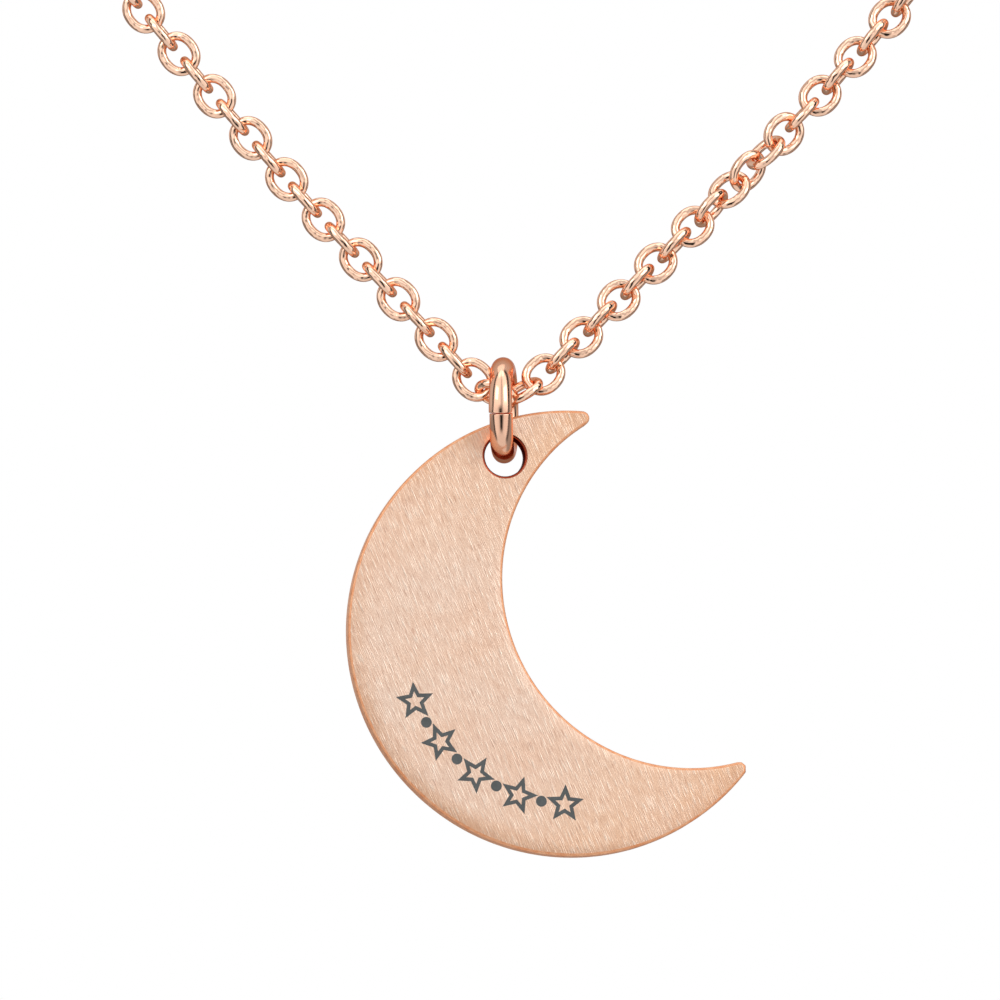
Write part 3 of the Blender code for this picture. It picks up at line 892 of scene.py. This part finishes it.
def crescent_face(inset, radius, rows=(40, 36, 150), across=7):
    """Grid of a flat face with a hole: lines from the disc side to the bite side.

    Each line is two strips, split at a middle line. Where a line meets the hole the strips stop
    at its circle, so the two strips open round the hole and close again past it.
    """
    sides = crescent_sides(inset)
    first, last = hole_shares(sides, radius)
    half = (last - first) / 2
    round_hole = first + half - half * np.cos(np.linspace(0, np.pi, rows[1]))
    share = np.concatenate(
        [np.linspace(0, first, rows[0])[:-1], round_hole, np.linspace(last, 1, rows[2])[1:]]
    )
    near, far, _ = crossing(share, sides, radius)
    start, end = read_side(sides[0], share), read_side(sides[1], share)
    length = np.linalg.norm(end - start, axis=1)
    tangent = np.linalg.norm(near - start, axis=1) / np.maximum(length, 1e-9)
    i_first, i_last = rows[0] - 1, rows[0] + rows[1] - 2
    split = np.interp(
        np.arange(len(share)), [0, i_first, i_last, len(share) - 1],
        [0.5, tangent[i_first], tangent[i_last], 0.5],
    )[:, None]
    plain = start + (end - start) * split
    at_hole = np.zeros(len(share), bool)
    at_hole[i_first : i_last + 1] = True
    near = np.where(at_hole[:, None], near, plain)
    far = np.where(at_hole[:, None], far, plain)
    part = np.linspace(0, 1, across)[None, :, None]
    outer = start[:, None] + (near - start)[:, None] * part
    inner = far[:, None] + (end - far)[:, None] * part
    return outer, inner


def rim_points(loops, depths):
    """A closed rim: each loop of plane points at its depth along Y, in mm."""
    return np.concatenate(
        [np.stack([loop[:, 0], np.full(len(loop), depth), loop[:, 1]], 1)
         for loop, depth in zip(loops, depths)]
    )


def quarter_rounds(radius, steps):
    """Insets and depths from the front face's edge over the wall to the back face's edge, in mm."""
    turn = np.linspace(0, np.pi / 2, steps)
    inset = radius * (1 - np.sin(turn))
    depth = -PLATE_HALF + radius * (1 - np.cos(turn))
    return np.concatenate([inset, inset[::-1]]), np.concatenate([depth, -depth[::-1]])


class NECKLACE_OT_crescent(bpy.types.Operator):
    """The crescent plate: satin faces, a filed rim with rounded edges, and a hole whose wall is
    painted dark as the shade inside it
    """

    bl_idname = "necklace.crescent"
    bl_label = "Crescent Plate"

    def execute(self, context):
        rounding = context.scene.necklace_sizes.rim_round / MM
        parts, faces, which, count = [], [], [], 0

        def keep(points, quads, finish):
            nonlocal count
            parts.append(points)
            faces.append(quads + count)
            which.extend([finish] * len(quads))
            count += len(points)

        strips = crescent_face(rounding, HOLE_RADIUS + rounding)
        for depth in (-PLATE_HALF, PLATE_HALF):
            for strip in strips:
                rows, columns = strip.shape[:2]
                flat = strip.reshape(-1, 2)
                points = np.stack([flat[:, 0], np.full(len(flat), depth), flat[:, 1]], 1)
                keep(points, grid_faces(rows, columns), 0)

        insets, depths = quarter_rounds(rounding, 7)
        outer, inner = strips
        opened = np.flatnonzero(np.linalg.norm(outer[:, -1] - inner[:, 0], axis=1) > 1e-6)
        i_first, i_last = opened[0] - 1, opened[-1] + 1
        edge = np.concatenate([outer[:, 0], inner[::-1, -1][1:-1]])
        hole = np.concatenate(
            [outer[i_first : i_last + 1, -1], inner[i_first : i_last + 1, 0][::-1][1:-1]]
        )
        out = edge_normals(edge)
        loops = [edge + out * (rounding - inset) for inset in insets]
        keep(rim_points(loops, depths), grid_faces(len(loops), len(edge), False, True), 1)
        # The hole's inner wall, finish 2, painted dark as the shade inside the hole
        middle_out = unit(hole - HOLE_CENTRE)
        loops = [HOLE_CENTRE + middle_out * (HOLE_RADIUS + inset) for inset in insets]
        keep(rim_points(loops, depths), grid_faces(len(loops), len(hole), False, True), 2)

        points = np.concatenate(parts) * MM + RING_CENTRE
        make_piece(
            "fine_crescent", points, np.concatenate(faces),
            ["satin_rose_gold", "satin_rim_painted_shade", "hole_wall_painted_shade"],
            "crescent", ["crescent_plate"], which=which, weld=2e-6,
        )
        return {"FINISHED"}


def edge_normals(loop):
    """Outward normals in the plane of a closed loop of points."""
    along = unit(np.roll(loop, -1, 0) - np.roll(loop, 1, 0))
    normal = np.stack([along[:, 1], -along[:, 0]], 1)
    area = (loop[:, 0] * np.roll(loop[:, 1], -1) - loop[:, 1] * np.roll(loop[:, 0], -1)).sum()
    return normal if area > 0 else -normal


def star_outline(radius, waist, points=5):
    """A star: corners in turn on an outer and an inner circle."""
    turn = np.pi / 2 + np.arange(2 * points) * np.pi / points
    reach = np.where(np.arange(2 * points) % 2 == 0, radius, waist)
    return np.stack([reach * np.cos(turn), reach * np.sin(turn)], 1)


def raised_flat(outline, base, top, hollow=None):
    """A low flat shape: a fan or a band on top, and a wall down to the plate, all in mm."""
    count = len(outline)
    inner = outline * 0.0 if hollow is None else hollow
    rings = [(outline, base), (outline, top), (inner, top), (inner, base)]
    points = np.concatenate(
        [np.stack([loop[:, 0], np.full(count, depth), loop[:, 1]], 1) for loop, depth in rings]
    )
    quads = grid_faces(4, count, False, True)
    bottom = np.stack([
        np.arange(count) + 3 * count, (np.arange(count) + 1) % count + 3 * count,
        (np.arange(count) + 1) % count, np.arange(count),
    ], 1)
    return points, np.concatenate([quads, bottom])


class NECKLACE_OT_motif(bpy.types.Operator):
    """A dark row of stars and dots along the crescent, on a curve round the disc's centre"""

    bl_idname = "necklace.motif"
    bl_label = "Star Motif"

    def execute(self, context):
        base, top = -PLATE_HALF + MOTIF_SUNK, -PLATE_HALF - MOTIF_PROUD
        parts, faces, count = [], [], 0
        for step, angle in enumerate(np.radians(np.linspace(*MOTIF_SPAN, MOTIF_STEPS))):
            if step % 2 == 0:
                outline = star_outline(*STAR_OUTER)
                hollow = star_outline(*STAR_INNER)
            else:
                outline = arc((0, 0), DOT_RADIUS, 0, 360, 25)[:-1]
                hollow = None
            points, quads = raised_flat(outline, base, top, hollow)
            lean = angle + np.pi / 2
            x = points[:, 0] * np.cos(lean) - points[:, 2] * np.sin(lean)
            z = points[:, 0] * np.sin(lean) + points[:, 2] * np.cos(lean)
            middle = DISC_CENTRE + MOTIF_RADIUS * np.array([np.cos(angle), np.sin(angle)])
            parts.append(np.stack([x + middle[0], points[:, 1], z + middle[1]], 1))
            faces.append(quads + count)
            count += len(points)
        piece_points = np.concatenate(parts) * MM + RING_CENTRE
        piece = make_piece(
            "star_motif", piece_points, np.concatenate(faces), ["motif_enamel"],
            "crescent", weld=1e-7,
        )
        piece.data.shade_flat()
        return {"FINISHED"}


# ---- clasp -------------------------------------------------------------------------------


def claw_band(sections=84, sides=28):
    """The claw as a band between its outer ellipse and the mouth's ellipse, in mm from the tail.

    At angle t round both ellipses the section is a superellipse: as wide as the space between
    them, and thinner towards the tip. Each end closes in a short dome.
    """
    turn = np.radians(np.linspace(72.0, -256.0, sections))
    outer = np.stack([CLAW_CENTRE + CLAW_HALF[0] * np.cos(turn), CLAW_HALF[1] * np.sin(turn)], 1)
    inner = np.stack(
        [MOUTH_CENTRE + MOUTH_HALF[0] * np.cos(turn), MOUTH_HALF[1] * np.sin(turn)], 1
    )
    middle, width = (outer + inner) / 2, np.linalg.norm(outer - inner, axis=1) / 2
    toward = unit(outer - inner)
    share = np.linspace(0, 1, sections)
    thick = 0.62 + 0.27 * np.clip(share / 0.45, 0, 1)
    from_end = np.clip(np.minimum(share, 1 - share) / 0.035, 0, 1)
    dome = np.sqrt(np.clip(1 - (1 - from_end) ** 2, 0, 1))
    angle = np.linspace(0, 2 * np.pi, sides, endpoint=False)
    bulge = 2 / 2.7
    c = np.sign(np.cos(angle)) * np.abs(np.cos(angle)) ** bulge
    s = np.sign(np.sin(angle)) * np.abs(np.sin(angle)) ** bulge
    plane = middle[:, None] + toward[:, None] * (c[None, :] * (width * dome)[:, None])[..., None]
    depth = s[None, :] * (thick * dome)[:, None]
    points = np.stack([plane[..., 0], depth, plane[..., 1]], -1)
    return points.reshape(-1, 3), grid_faces(sections, sides, False, True)


def tail_eye_ring(steps=64, sides=20):
    """The tail's eye: an oval rod round its hole, drawn out towards the claw, in mm."""
    turn = np.linspace(0, 2 * np.pi, steps, endpoint=False)
    stretch = 1 + 0.75 * np.clip(np.cos(turn), 0, 1) ** 6
    path = np.stack([1.08 * stretch * np.cos(turn), 0 * turn, 1.08 * np.sin(turn)], 1)
    outward = np.stack([np.cos(turn), 0 * turn, np.sin(turn)], 1)
    wide = 0.31 * (1 + 1.6 * np.clip(np.cos(turn), 0, 1) ** 6)
    angle = np.linspace(0, 2 * np.pi, sides, endpoint=False)
    points = (
        path[:, None] + (wide[:, None] * np.cos(angle))[..., None] * outward[:, None]
        + (0.48 * np.sin(angle))[None, :, None] * np.array([0.0, 1.0, 0.0])
    )
    return points.reshape(-1, 3), grid_faces(steps, sides, True, True)


def rounded_plate(outline, half, rounding, steps=6):
    """A flat piece with rounded edges: its outline set in as a quarter circle, in mm."""
    turn = np.linspace(0, np.pi / 2, steps)
    inset = rounding * (1 - np.sin(turn))
    depth = -half + rounding * (1 - np.cos(turn))
    out = edge_normals(outline)
    loops = [outline - out * value for value in np.concatenate([inset, inset[::-1]])]
    points = rim_points(loops, np.concatenate([depth, -depth[::-1]]))
    count = len(outline)
    faces = [list(quad) for quad in grid_faces(len(loops), count, False, True)]
    faces.append(list(range(count)))
    faces.append(list(range(len(points) - count, len(points))))
    return points, faces


def closed_curve(points, steps):
    """A smooth closed outline through points: a Catmull-Rom curve."""
    points = np.array(points, float)
    before, after, beyond = (np.roll(points, shift, 0) for shift in (1, -1, -2))
    t = np.linspace(0, 1, steps, endpoint=False)[None, :, None]
    p, q, r, s = (corner[:, None] for corner in (before, points, after, beyond))
    curve = 0.5 * (2 * q + (r - p) * t + (2 * p - 5 * q + 4 * r - s) * t**2
                   + (3 * q - p - 3 * r + s) * t**3)
    return curve.reshape(-1, 2)


def cut(piece, tool, operation):
    """Joins a tool to a piece, or cuts it away, and applies the change."""
    step = piece.modifiers.new("cut", "BOOLEAN")
    step.operation = operation
    step.solver = "EXACT"
    step.object = tool
    graph = bpy.context.evaluated_depsgraph_get()
    made = bpy.data.meshes.new_from_object(piece.evaluated_get(graph))
    piece.modifiers.clear()
    piece.data = made
    bpy.data.objects.remove(tool, do_unlink=True)


def tool_object(name, points, faces):
    """A mesh object that only cuts or joins."""
    mesh = bpy.data.meshes.new(name)
    mesh.from_pydata(np.asarray(points).tolist(), [], [list(face) for face in faces])
    tidy_mesh(mesh, 1e-7)
    tool = bpy.data.objects.new(name, mesh)
    bpy.context.scene.collection.objects.link(tool)
    return tool


def block(low, high):
    """A box's corners and faces, from its lowest to its highest corner."""
    corners = np.array([[x, y, z] for x in (0, 1) for y in (0, 1) for z in (0, 1)])
    points = np.array(low) + corners * (np.array(high) - np.array(low))
    faces = [(0, 1, 3, 2), (4, 6, 7, 5), (0, 4, 5, 1), (2, 3, 7, 6), (0, 2, 6, 4), (1, 5, 7, 3)]
    return points, faces


def clasp_place(points):
    """Clasp points in mm from the tail's eye, placed in metres."""
    return (np.asarray(points) + CLASP_TAIL) * MM


class NECKLACE_OT_claw(bpy.types.Operator):
    """The lobster clasp's claw with its tail eye and lever slot"""

    bl_idname = "necklace.claw"
    bl_label = "Clasp Claw"

    def execute(self, context):
        points, faces = claw_band()
        claw = make_piece(
            "fine_claw", clasp_place(points), faces, ["polished_rose_gold"],
            "neck_loop", ["clasp_body"], weld=1e-7,
        )
        eye = tail_eye_ring()
        cut(claw, tool_object("eye_tool", clasp_place(eye[0]), eye[1]), "UNION")
        slot = block(SLOT_LOW, SLOT_HIGH)
        cut(claw, tool_object("slot_tool", clasp_place(slot[0]), slot[1]), "DIFFERENCE")
        claw.data.shade_smooth()
        claw.data.set_sharp_from_angle(angle=math.radians(35))
        return {"FINISHED"}


class NECKLACE_OT_lever(bpy.types.Operator):
    """The clasp's gate and thumb tab, with rounded edges"""

    bl_idname = "necklace.lever"
    bl_label = "Clasp Lever"

    def execute(self, context):
        outline = closed_curve(LEVER_OUTLINE, 6)
        points, faces = rounded_plate(outline, LEVER_HALF, LEVER_ROUND)
        make_piece(
            "fine_lever", clasp_place(points + PIVOT), faces, ["polished_rose_gold"],
            "lever", ["clasp_lever"], weld=1e-7,
        )
        return {"FINISHED"}


class NECKLACE_OT_pin_and_spring(bpy.types.Operator):
    """The lever's pin with its domed ends, and the coil spring behind the lever"""

    bl_idname = "necklace.pin_and_spring"
    bl_label = "Clasp Pin and Spring"

    def execute(self, context):
        turn = np.linspace(0, np.pi / 2, 7)
        radius = np.concatenate([PIN_RADIUS * np.sin(turn), PIN_RADIUS * np.cos(turn)])
        depth = np.concatenate(
            [-PIN_HALF - PIN_DOME * np.cos(turn), PIN_HALF + PIN_DOME * np.sin(turn)]
        )
        angle = np.linspace(0, 2 * np.pi, 32, endpoint=False)
        points = np.stack(
            [radius[:, None] * np.cos(angle), depth[:, None] + 0 * angle,
             radius[:, None] * np.sin(angle)], -1
        ).reshape(-1, 3)
        make_piece(
            "fine_pin", clasp_place(points + PIVOT), grid_faces(len(radius), 32, False, True),
            ["spring_steel"], "neck_loop", ["clasp_pin"], weld=1e-7,
        )
        steps = 120
        along = np.linspace(0, 2 * np.pi * SPRING_TURNS, steps)
        outward = np.stack([0 * along, np.cos(along), np.sin(along)], 1)
        path = SPRING_RADIUS * outward + SPRING_START
        path[:, 0] += np.linspace(0, SPRING_LENGTH, steps)
        normal = np.tile([1.0, 0.0, 0.0], (steps, 1))
        thick = np.full(steps, SPRING_WIRE)
        thick[[0, -1]] = 0.0
        make_piece(
            "fine_spring", clasp_place(rod(path, outward, normal, thick, 10)),
            grid_faces(steps, 10, False, True), ["spring_steel"], "neck_loop",
            ["clasp_spring"], weld=1e-7,
        )
        return {"FINISHED"}


class NECKLACE_OT_clasp_rings(bpy.types.Operator):
    """The ring in the clasp's tail and the ring that the claw closes on"""

    bl_idname = "necklace.clasp_rings"
    bl_label = "Clasp Rings"

    def execute(self, context):
        side = unit(RING_SEAM)
        for node in ("clasp_ring", "end_ring"):
            low, high = (np.array(corner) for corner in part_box(node))
            outer, wire = high[1] - low[1], high[2] - low[2]
            points, faces = bent_ring(
                outer, wire, 1.2, 0.0, 0.02 * MM, side, np.cross([0.0, 0.0, 1.0], side),
                steps=90, sides=20,
            )
            make_piece(
                "fine_" + node, points + (low + high) / 2, faces, ["polished_rose_gold"],
                node, [node], weld=1e-7,
            )
        return {"FINISHED"}


# ---- stage -------------------------------------------------------------------------------


class NECKLACE_OT_stage(bpy.types.Operator):
    """Pale floor, soft studio light and the camera"""

    bl_idname = "necklace.stage"
    bl_label = "Stage"

    def execute(self, context):
        self.make_floor()
        self.make_world()
        self.make_lights()
        self.make_camera()
        context.scene.view_settings.view_transform = "Standard"
        return {"FINISHED"}

    def make_floor(self):
        """A large plain floor well below the hanging necklace."""
        size, height = 3.0, -0.27
        mesh = bpy.data.meshes.new("floor")
        corners = [(-size, -size, height), (size, -size, height), (size, size, height),
                   (-size, size, height)]
        mesh.from_pydata(corners, [], [(0, 1, 2, 3)])
        floor = bpy.data.objects.new("floor", mesh)
        bpy.context.scene.collection.objects.link(floor)
        paint = bpy.data.materials.new("floor_paint")
        paint.use_nodes = True
        shader = paint.node_tree.nodes["Principled BSDF"]
        shader.inputs["Base Color"].default_value = (0.86, 0.86, 0.86, 1)
        shader.inputs["Roughness"].default_value = 0.9
        mesh.materials.append(paint)
        floor.visible_glossy = False

    def make_world(self):
        """White surround to the eye. To the metal, bright panels in front with dark gaps by them.

        The glow is read from two ramps of bearing, one above eye level and one below it, which
        are blended round eye level. Straight below, one plain glow takes the lower ramp's place.
        """
        world = bpy.data.worlds.new("studio")
        bpy.context.scene.world = world
        world.use_nodes = True
        tree = world.node_tree
        link = tree.links.new
        place = add(tree, "ShaderNodeTexCoord")
        facing = add(tree, "ShaderNodeVectorRotate", rotation_type="Z_AXIS", Angle=FRONT_TURN)
        parts = add(tree, "ShaderNodeSeparateXYZ")
        bearing = add(tree, "ShaderNodeMath", operation="ARCTAN2")
        share = add(tree, "ShaderNodeMapRange", From_Min=-math.pi, From_Max=math.pi)
        toward = add(tree, "ShaderNodeMath", operation="MULTIPLY")
        toward.inputs[1].default_value = -1.0
        link(place.outputs["Generated"], facing.inputs["Vector"])
        link(facing.outputs["Vector"], parts.inputs[0])
        link(parts.outputs["Y"], toward.inputs[0])
        link(parts.outputs["X"], bearing.inputs[0])
        link(toward.outputs[0], bearing.inputs[1])
        link(bearing.outputs[0], share.inputs["Value"])
        ramps = []
        for glow in (GLOW_BELOW, GLOW_ABOVE):
            ramp = tree.nodes.new("ShaderNodeValToRGB")
            stops = ramp.color_ramp.elements
            stops[0].position, stops[1].position = 0.0, 1.0
            for stop in stops:
                stop.color = (glow[0][1],) * 3 + (1,)
            for degrees, value in glow[1:]:
                stops.new((degrees + 180) / 360).color = (value, value, value, 1)
            link(share.outputs["Result"], ramp.inputs["Fac"])
            ramps.append(ramp.outputs["Color"])
        level = add(tree, "ShaderNodeMapRange", From_Min=EYE_BAND[0], From_Max=EYE_BAND[1])
        link(parts.outputs["Z"], level.inputs["Value"])
        both = add(tree, "ShaderNodeMix", data_type="RGBA")
        link(level.outputs["Result"], both.inputs["Factor"])
        link(ramps[0], both.inputs["A"])
        link(ramps[1], both.inputs["B"])
        under = add(tree, "ShaderNodeMapRange", From_Min=UNDER_BAND[0], From_Max=UNDER_BAND[1])
        link(parts.outputs["Z"], under.inputs["Value"])
        whole = add(tree, "ShaderNodeMix", data_type="RGBA")
        whole.inputs["A"].default_value = (GLOW_UNDER,) * 3 + (1,)
        link(under.outputs["Result"], whole.inputs["Factor"])
        link(both.outputs["Result"], whole.inputs["B"])
        ray = tree.nodes.new("ShaderNodeLightPath")
        seen = add(tree, "ShaderNodeMix", data_type="RGBA")
        seen.inputs["B"].default_value = (1, 1, 1, 1)
        link(ray.outputs["Is Camera Ray"], seen.inputs["Factor"])
        link(whole.outputs["Result"], seen.inputs["A"])
        link(seen.outputs["Result"], tree.nodes["Background"].inputs["Color"])

    def make_lights(self):
        """Two soft panels in front and one above."""
        for name, place, radiance, size in (
            ("left_softbox", (-0.45, -0.55, 0.25), 1.5, 0.35),
            ("right_softbox", (0.45, -0.55, 0.20), 1.6, 0.35),
            ("top_softbox", (0.0, -0.1, 0.6), 0.7, 0.5),
        ):
            data = bpy.data.lights.new(name, "AREA")
            data.energy = radiance * math.pi * size**2
            data.size = size
            lamp = bpy.data.objects.new(name, data)
            lamp.location = place
            aim = Vector(RING_CENTRE) - Vector(place)
            lamp.rotation_euler = aim.to_track_quat("-Z", "Y").to_euler()
            bpy.context.scene.collection.objects.link(lamp)

    def make_camera(self):
        """A long lens, a little to the left of the pendant and a little below it."""
        distance, field = 0.55, 0.0494
        view = unit(np.array([0.138, 0.982, 0.1305]))
        right = unit(np.cross(view, [0.0, 0.0, 1.0]))
        up = np.cross(right, view)
        target = RING_CENTRE - 0.12 * MM * right - 4.40 * MM * up
        data = bpy.data.cameras.new("camera")
        data.lens = data.sensor_width * distance / field
        data.clip_start = 0.01
        camera = bpy.data.objects.new("camera", data)
        camera.location = target - view * distance
        camera.rotation_euler = Vector(view).to_track_quat("-Z", "Y").to_euler()
        bpy.context.scene.collection.objects.link(camera)
        bpy.context.scene.camera = camera


# ---- add-on ------------------------------------------------------------------------------


class NECKLACE_PT_panel(bpy.types.Panel):
    """The necklace's pieces in the sidebar"""

    bl_label = "Crescent Necklace"
    bl_idname = "NECKLACE_PT_panel"
    bl_space_type = "VIEW_3D"
    bl_region_type = "UI"
    bl_category = "Necklace"

    def draw(self, context):
        for group in (context.scene.necklace_sizes, context.scene.necklace_colours):
            for name in group.bl_rna.properties.keys():
                if name not in ("rna_type", "name"):
                    self.layout.prop(group, name)
        for operator in OPERATORS:
            self.layout.operator(operator.bl_idname)


OPERATORS = (
    NECKLACE_OT_links,
    NECKLACE_OT_runs,
    NECKLACE_OT_split_ring,
    NECKLACE_OT_crescent,
    NECKLACE_OT_motif,
    NECKLACE_OT_claw,
    NECKLACE_OT_lever,
    NECKLACE_OT_pin_and_spring,
    NECKLACE_OT_clasp_rings,
    NECKLACE_OT_stage,
)


def register():
    for part in (NecklaceSizes, NecklaceColours, *OPERATORS, NECKLACE_PT_panel):
        bpy.utils.register_class(part)
    bpy.types.Scene.necklace_sizes = bpy.props.PointerProperty(type=NecklaceSizes)
    bpy.types.Scene.necklace_colours = bpy.props.PointerProperty(type=NecklaceColours)


def unregister():
    del bpy.types.Scene.necklace_colours
    del bpy.types.Scene.necklace_sizes
    for part in (NECKLACE_PT_panel, *reversed(OPERATORS), NecklaceColours, NecklaceSizes):
        bpy.utils.unregister_class(part)


def main():
    register()
    for operator in OPERATORS:
        family, name = operator.bl_idname.split(".")
        getattr(getattr(bpy.ops, family), name)()


if __name__ == "__main__":
    main()
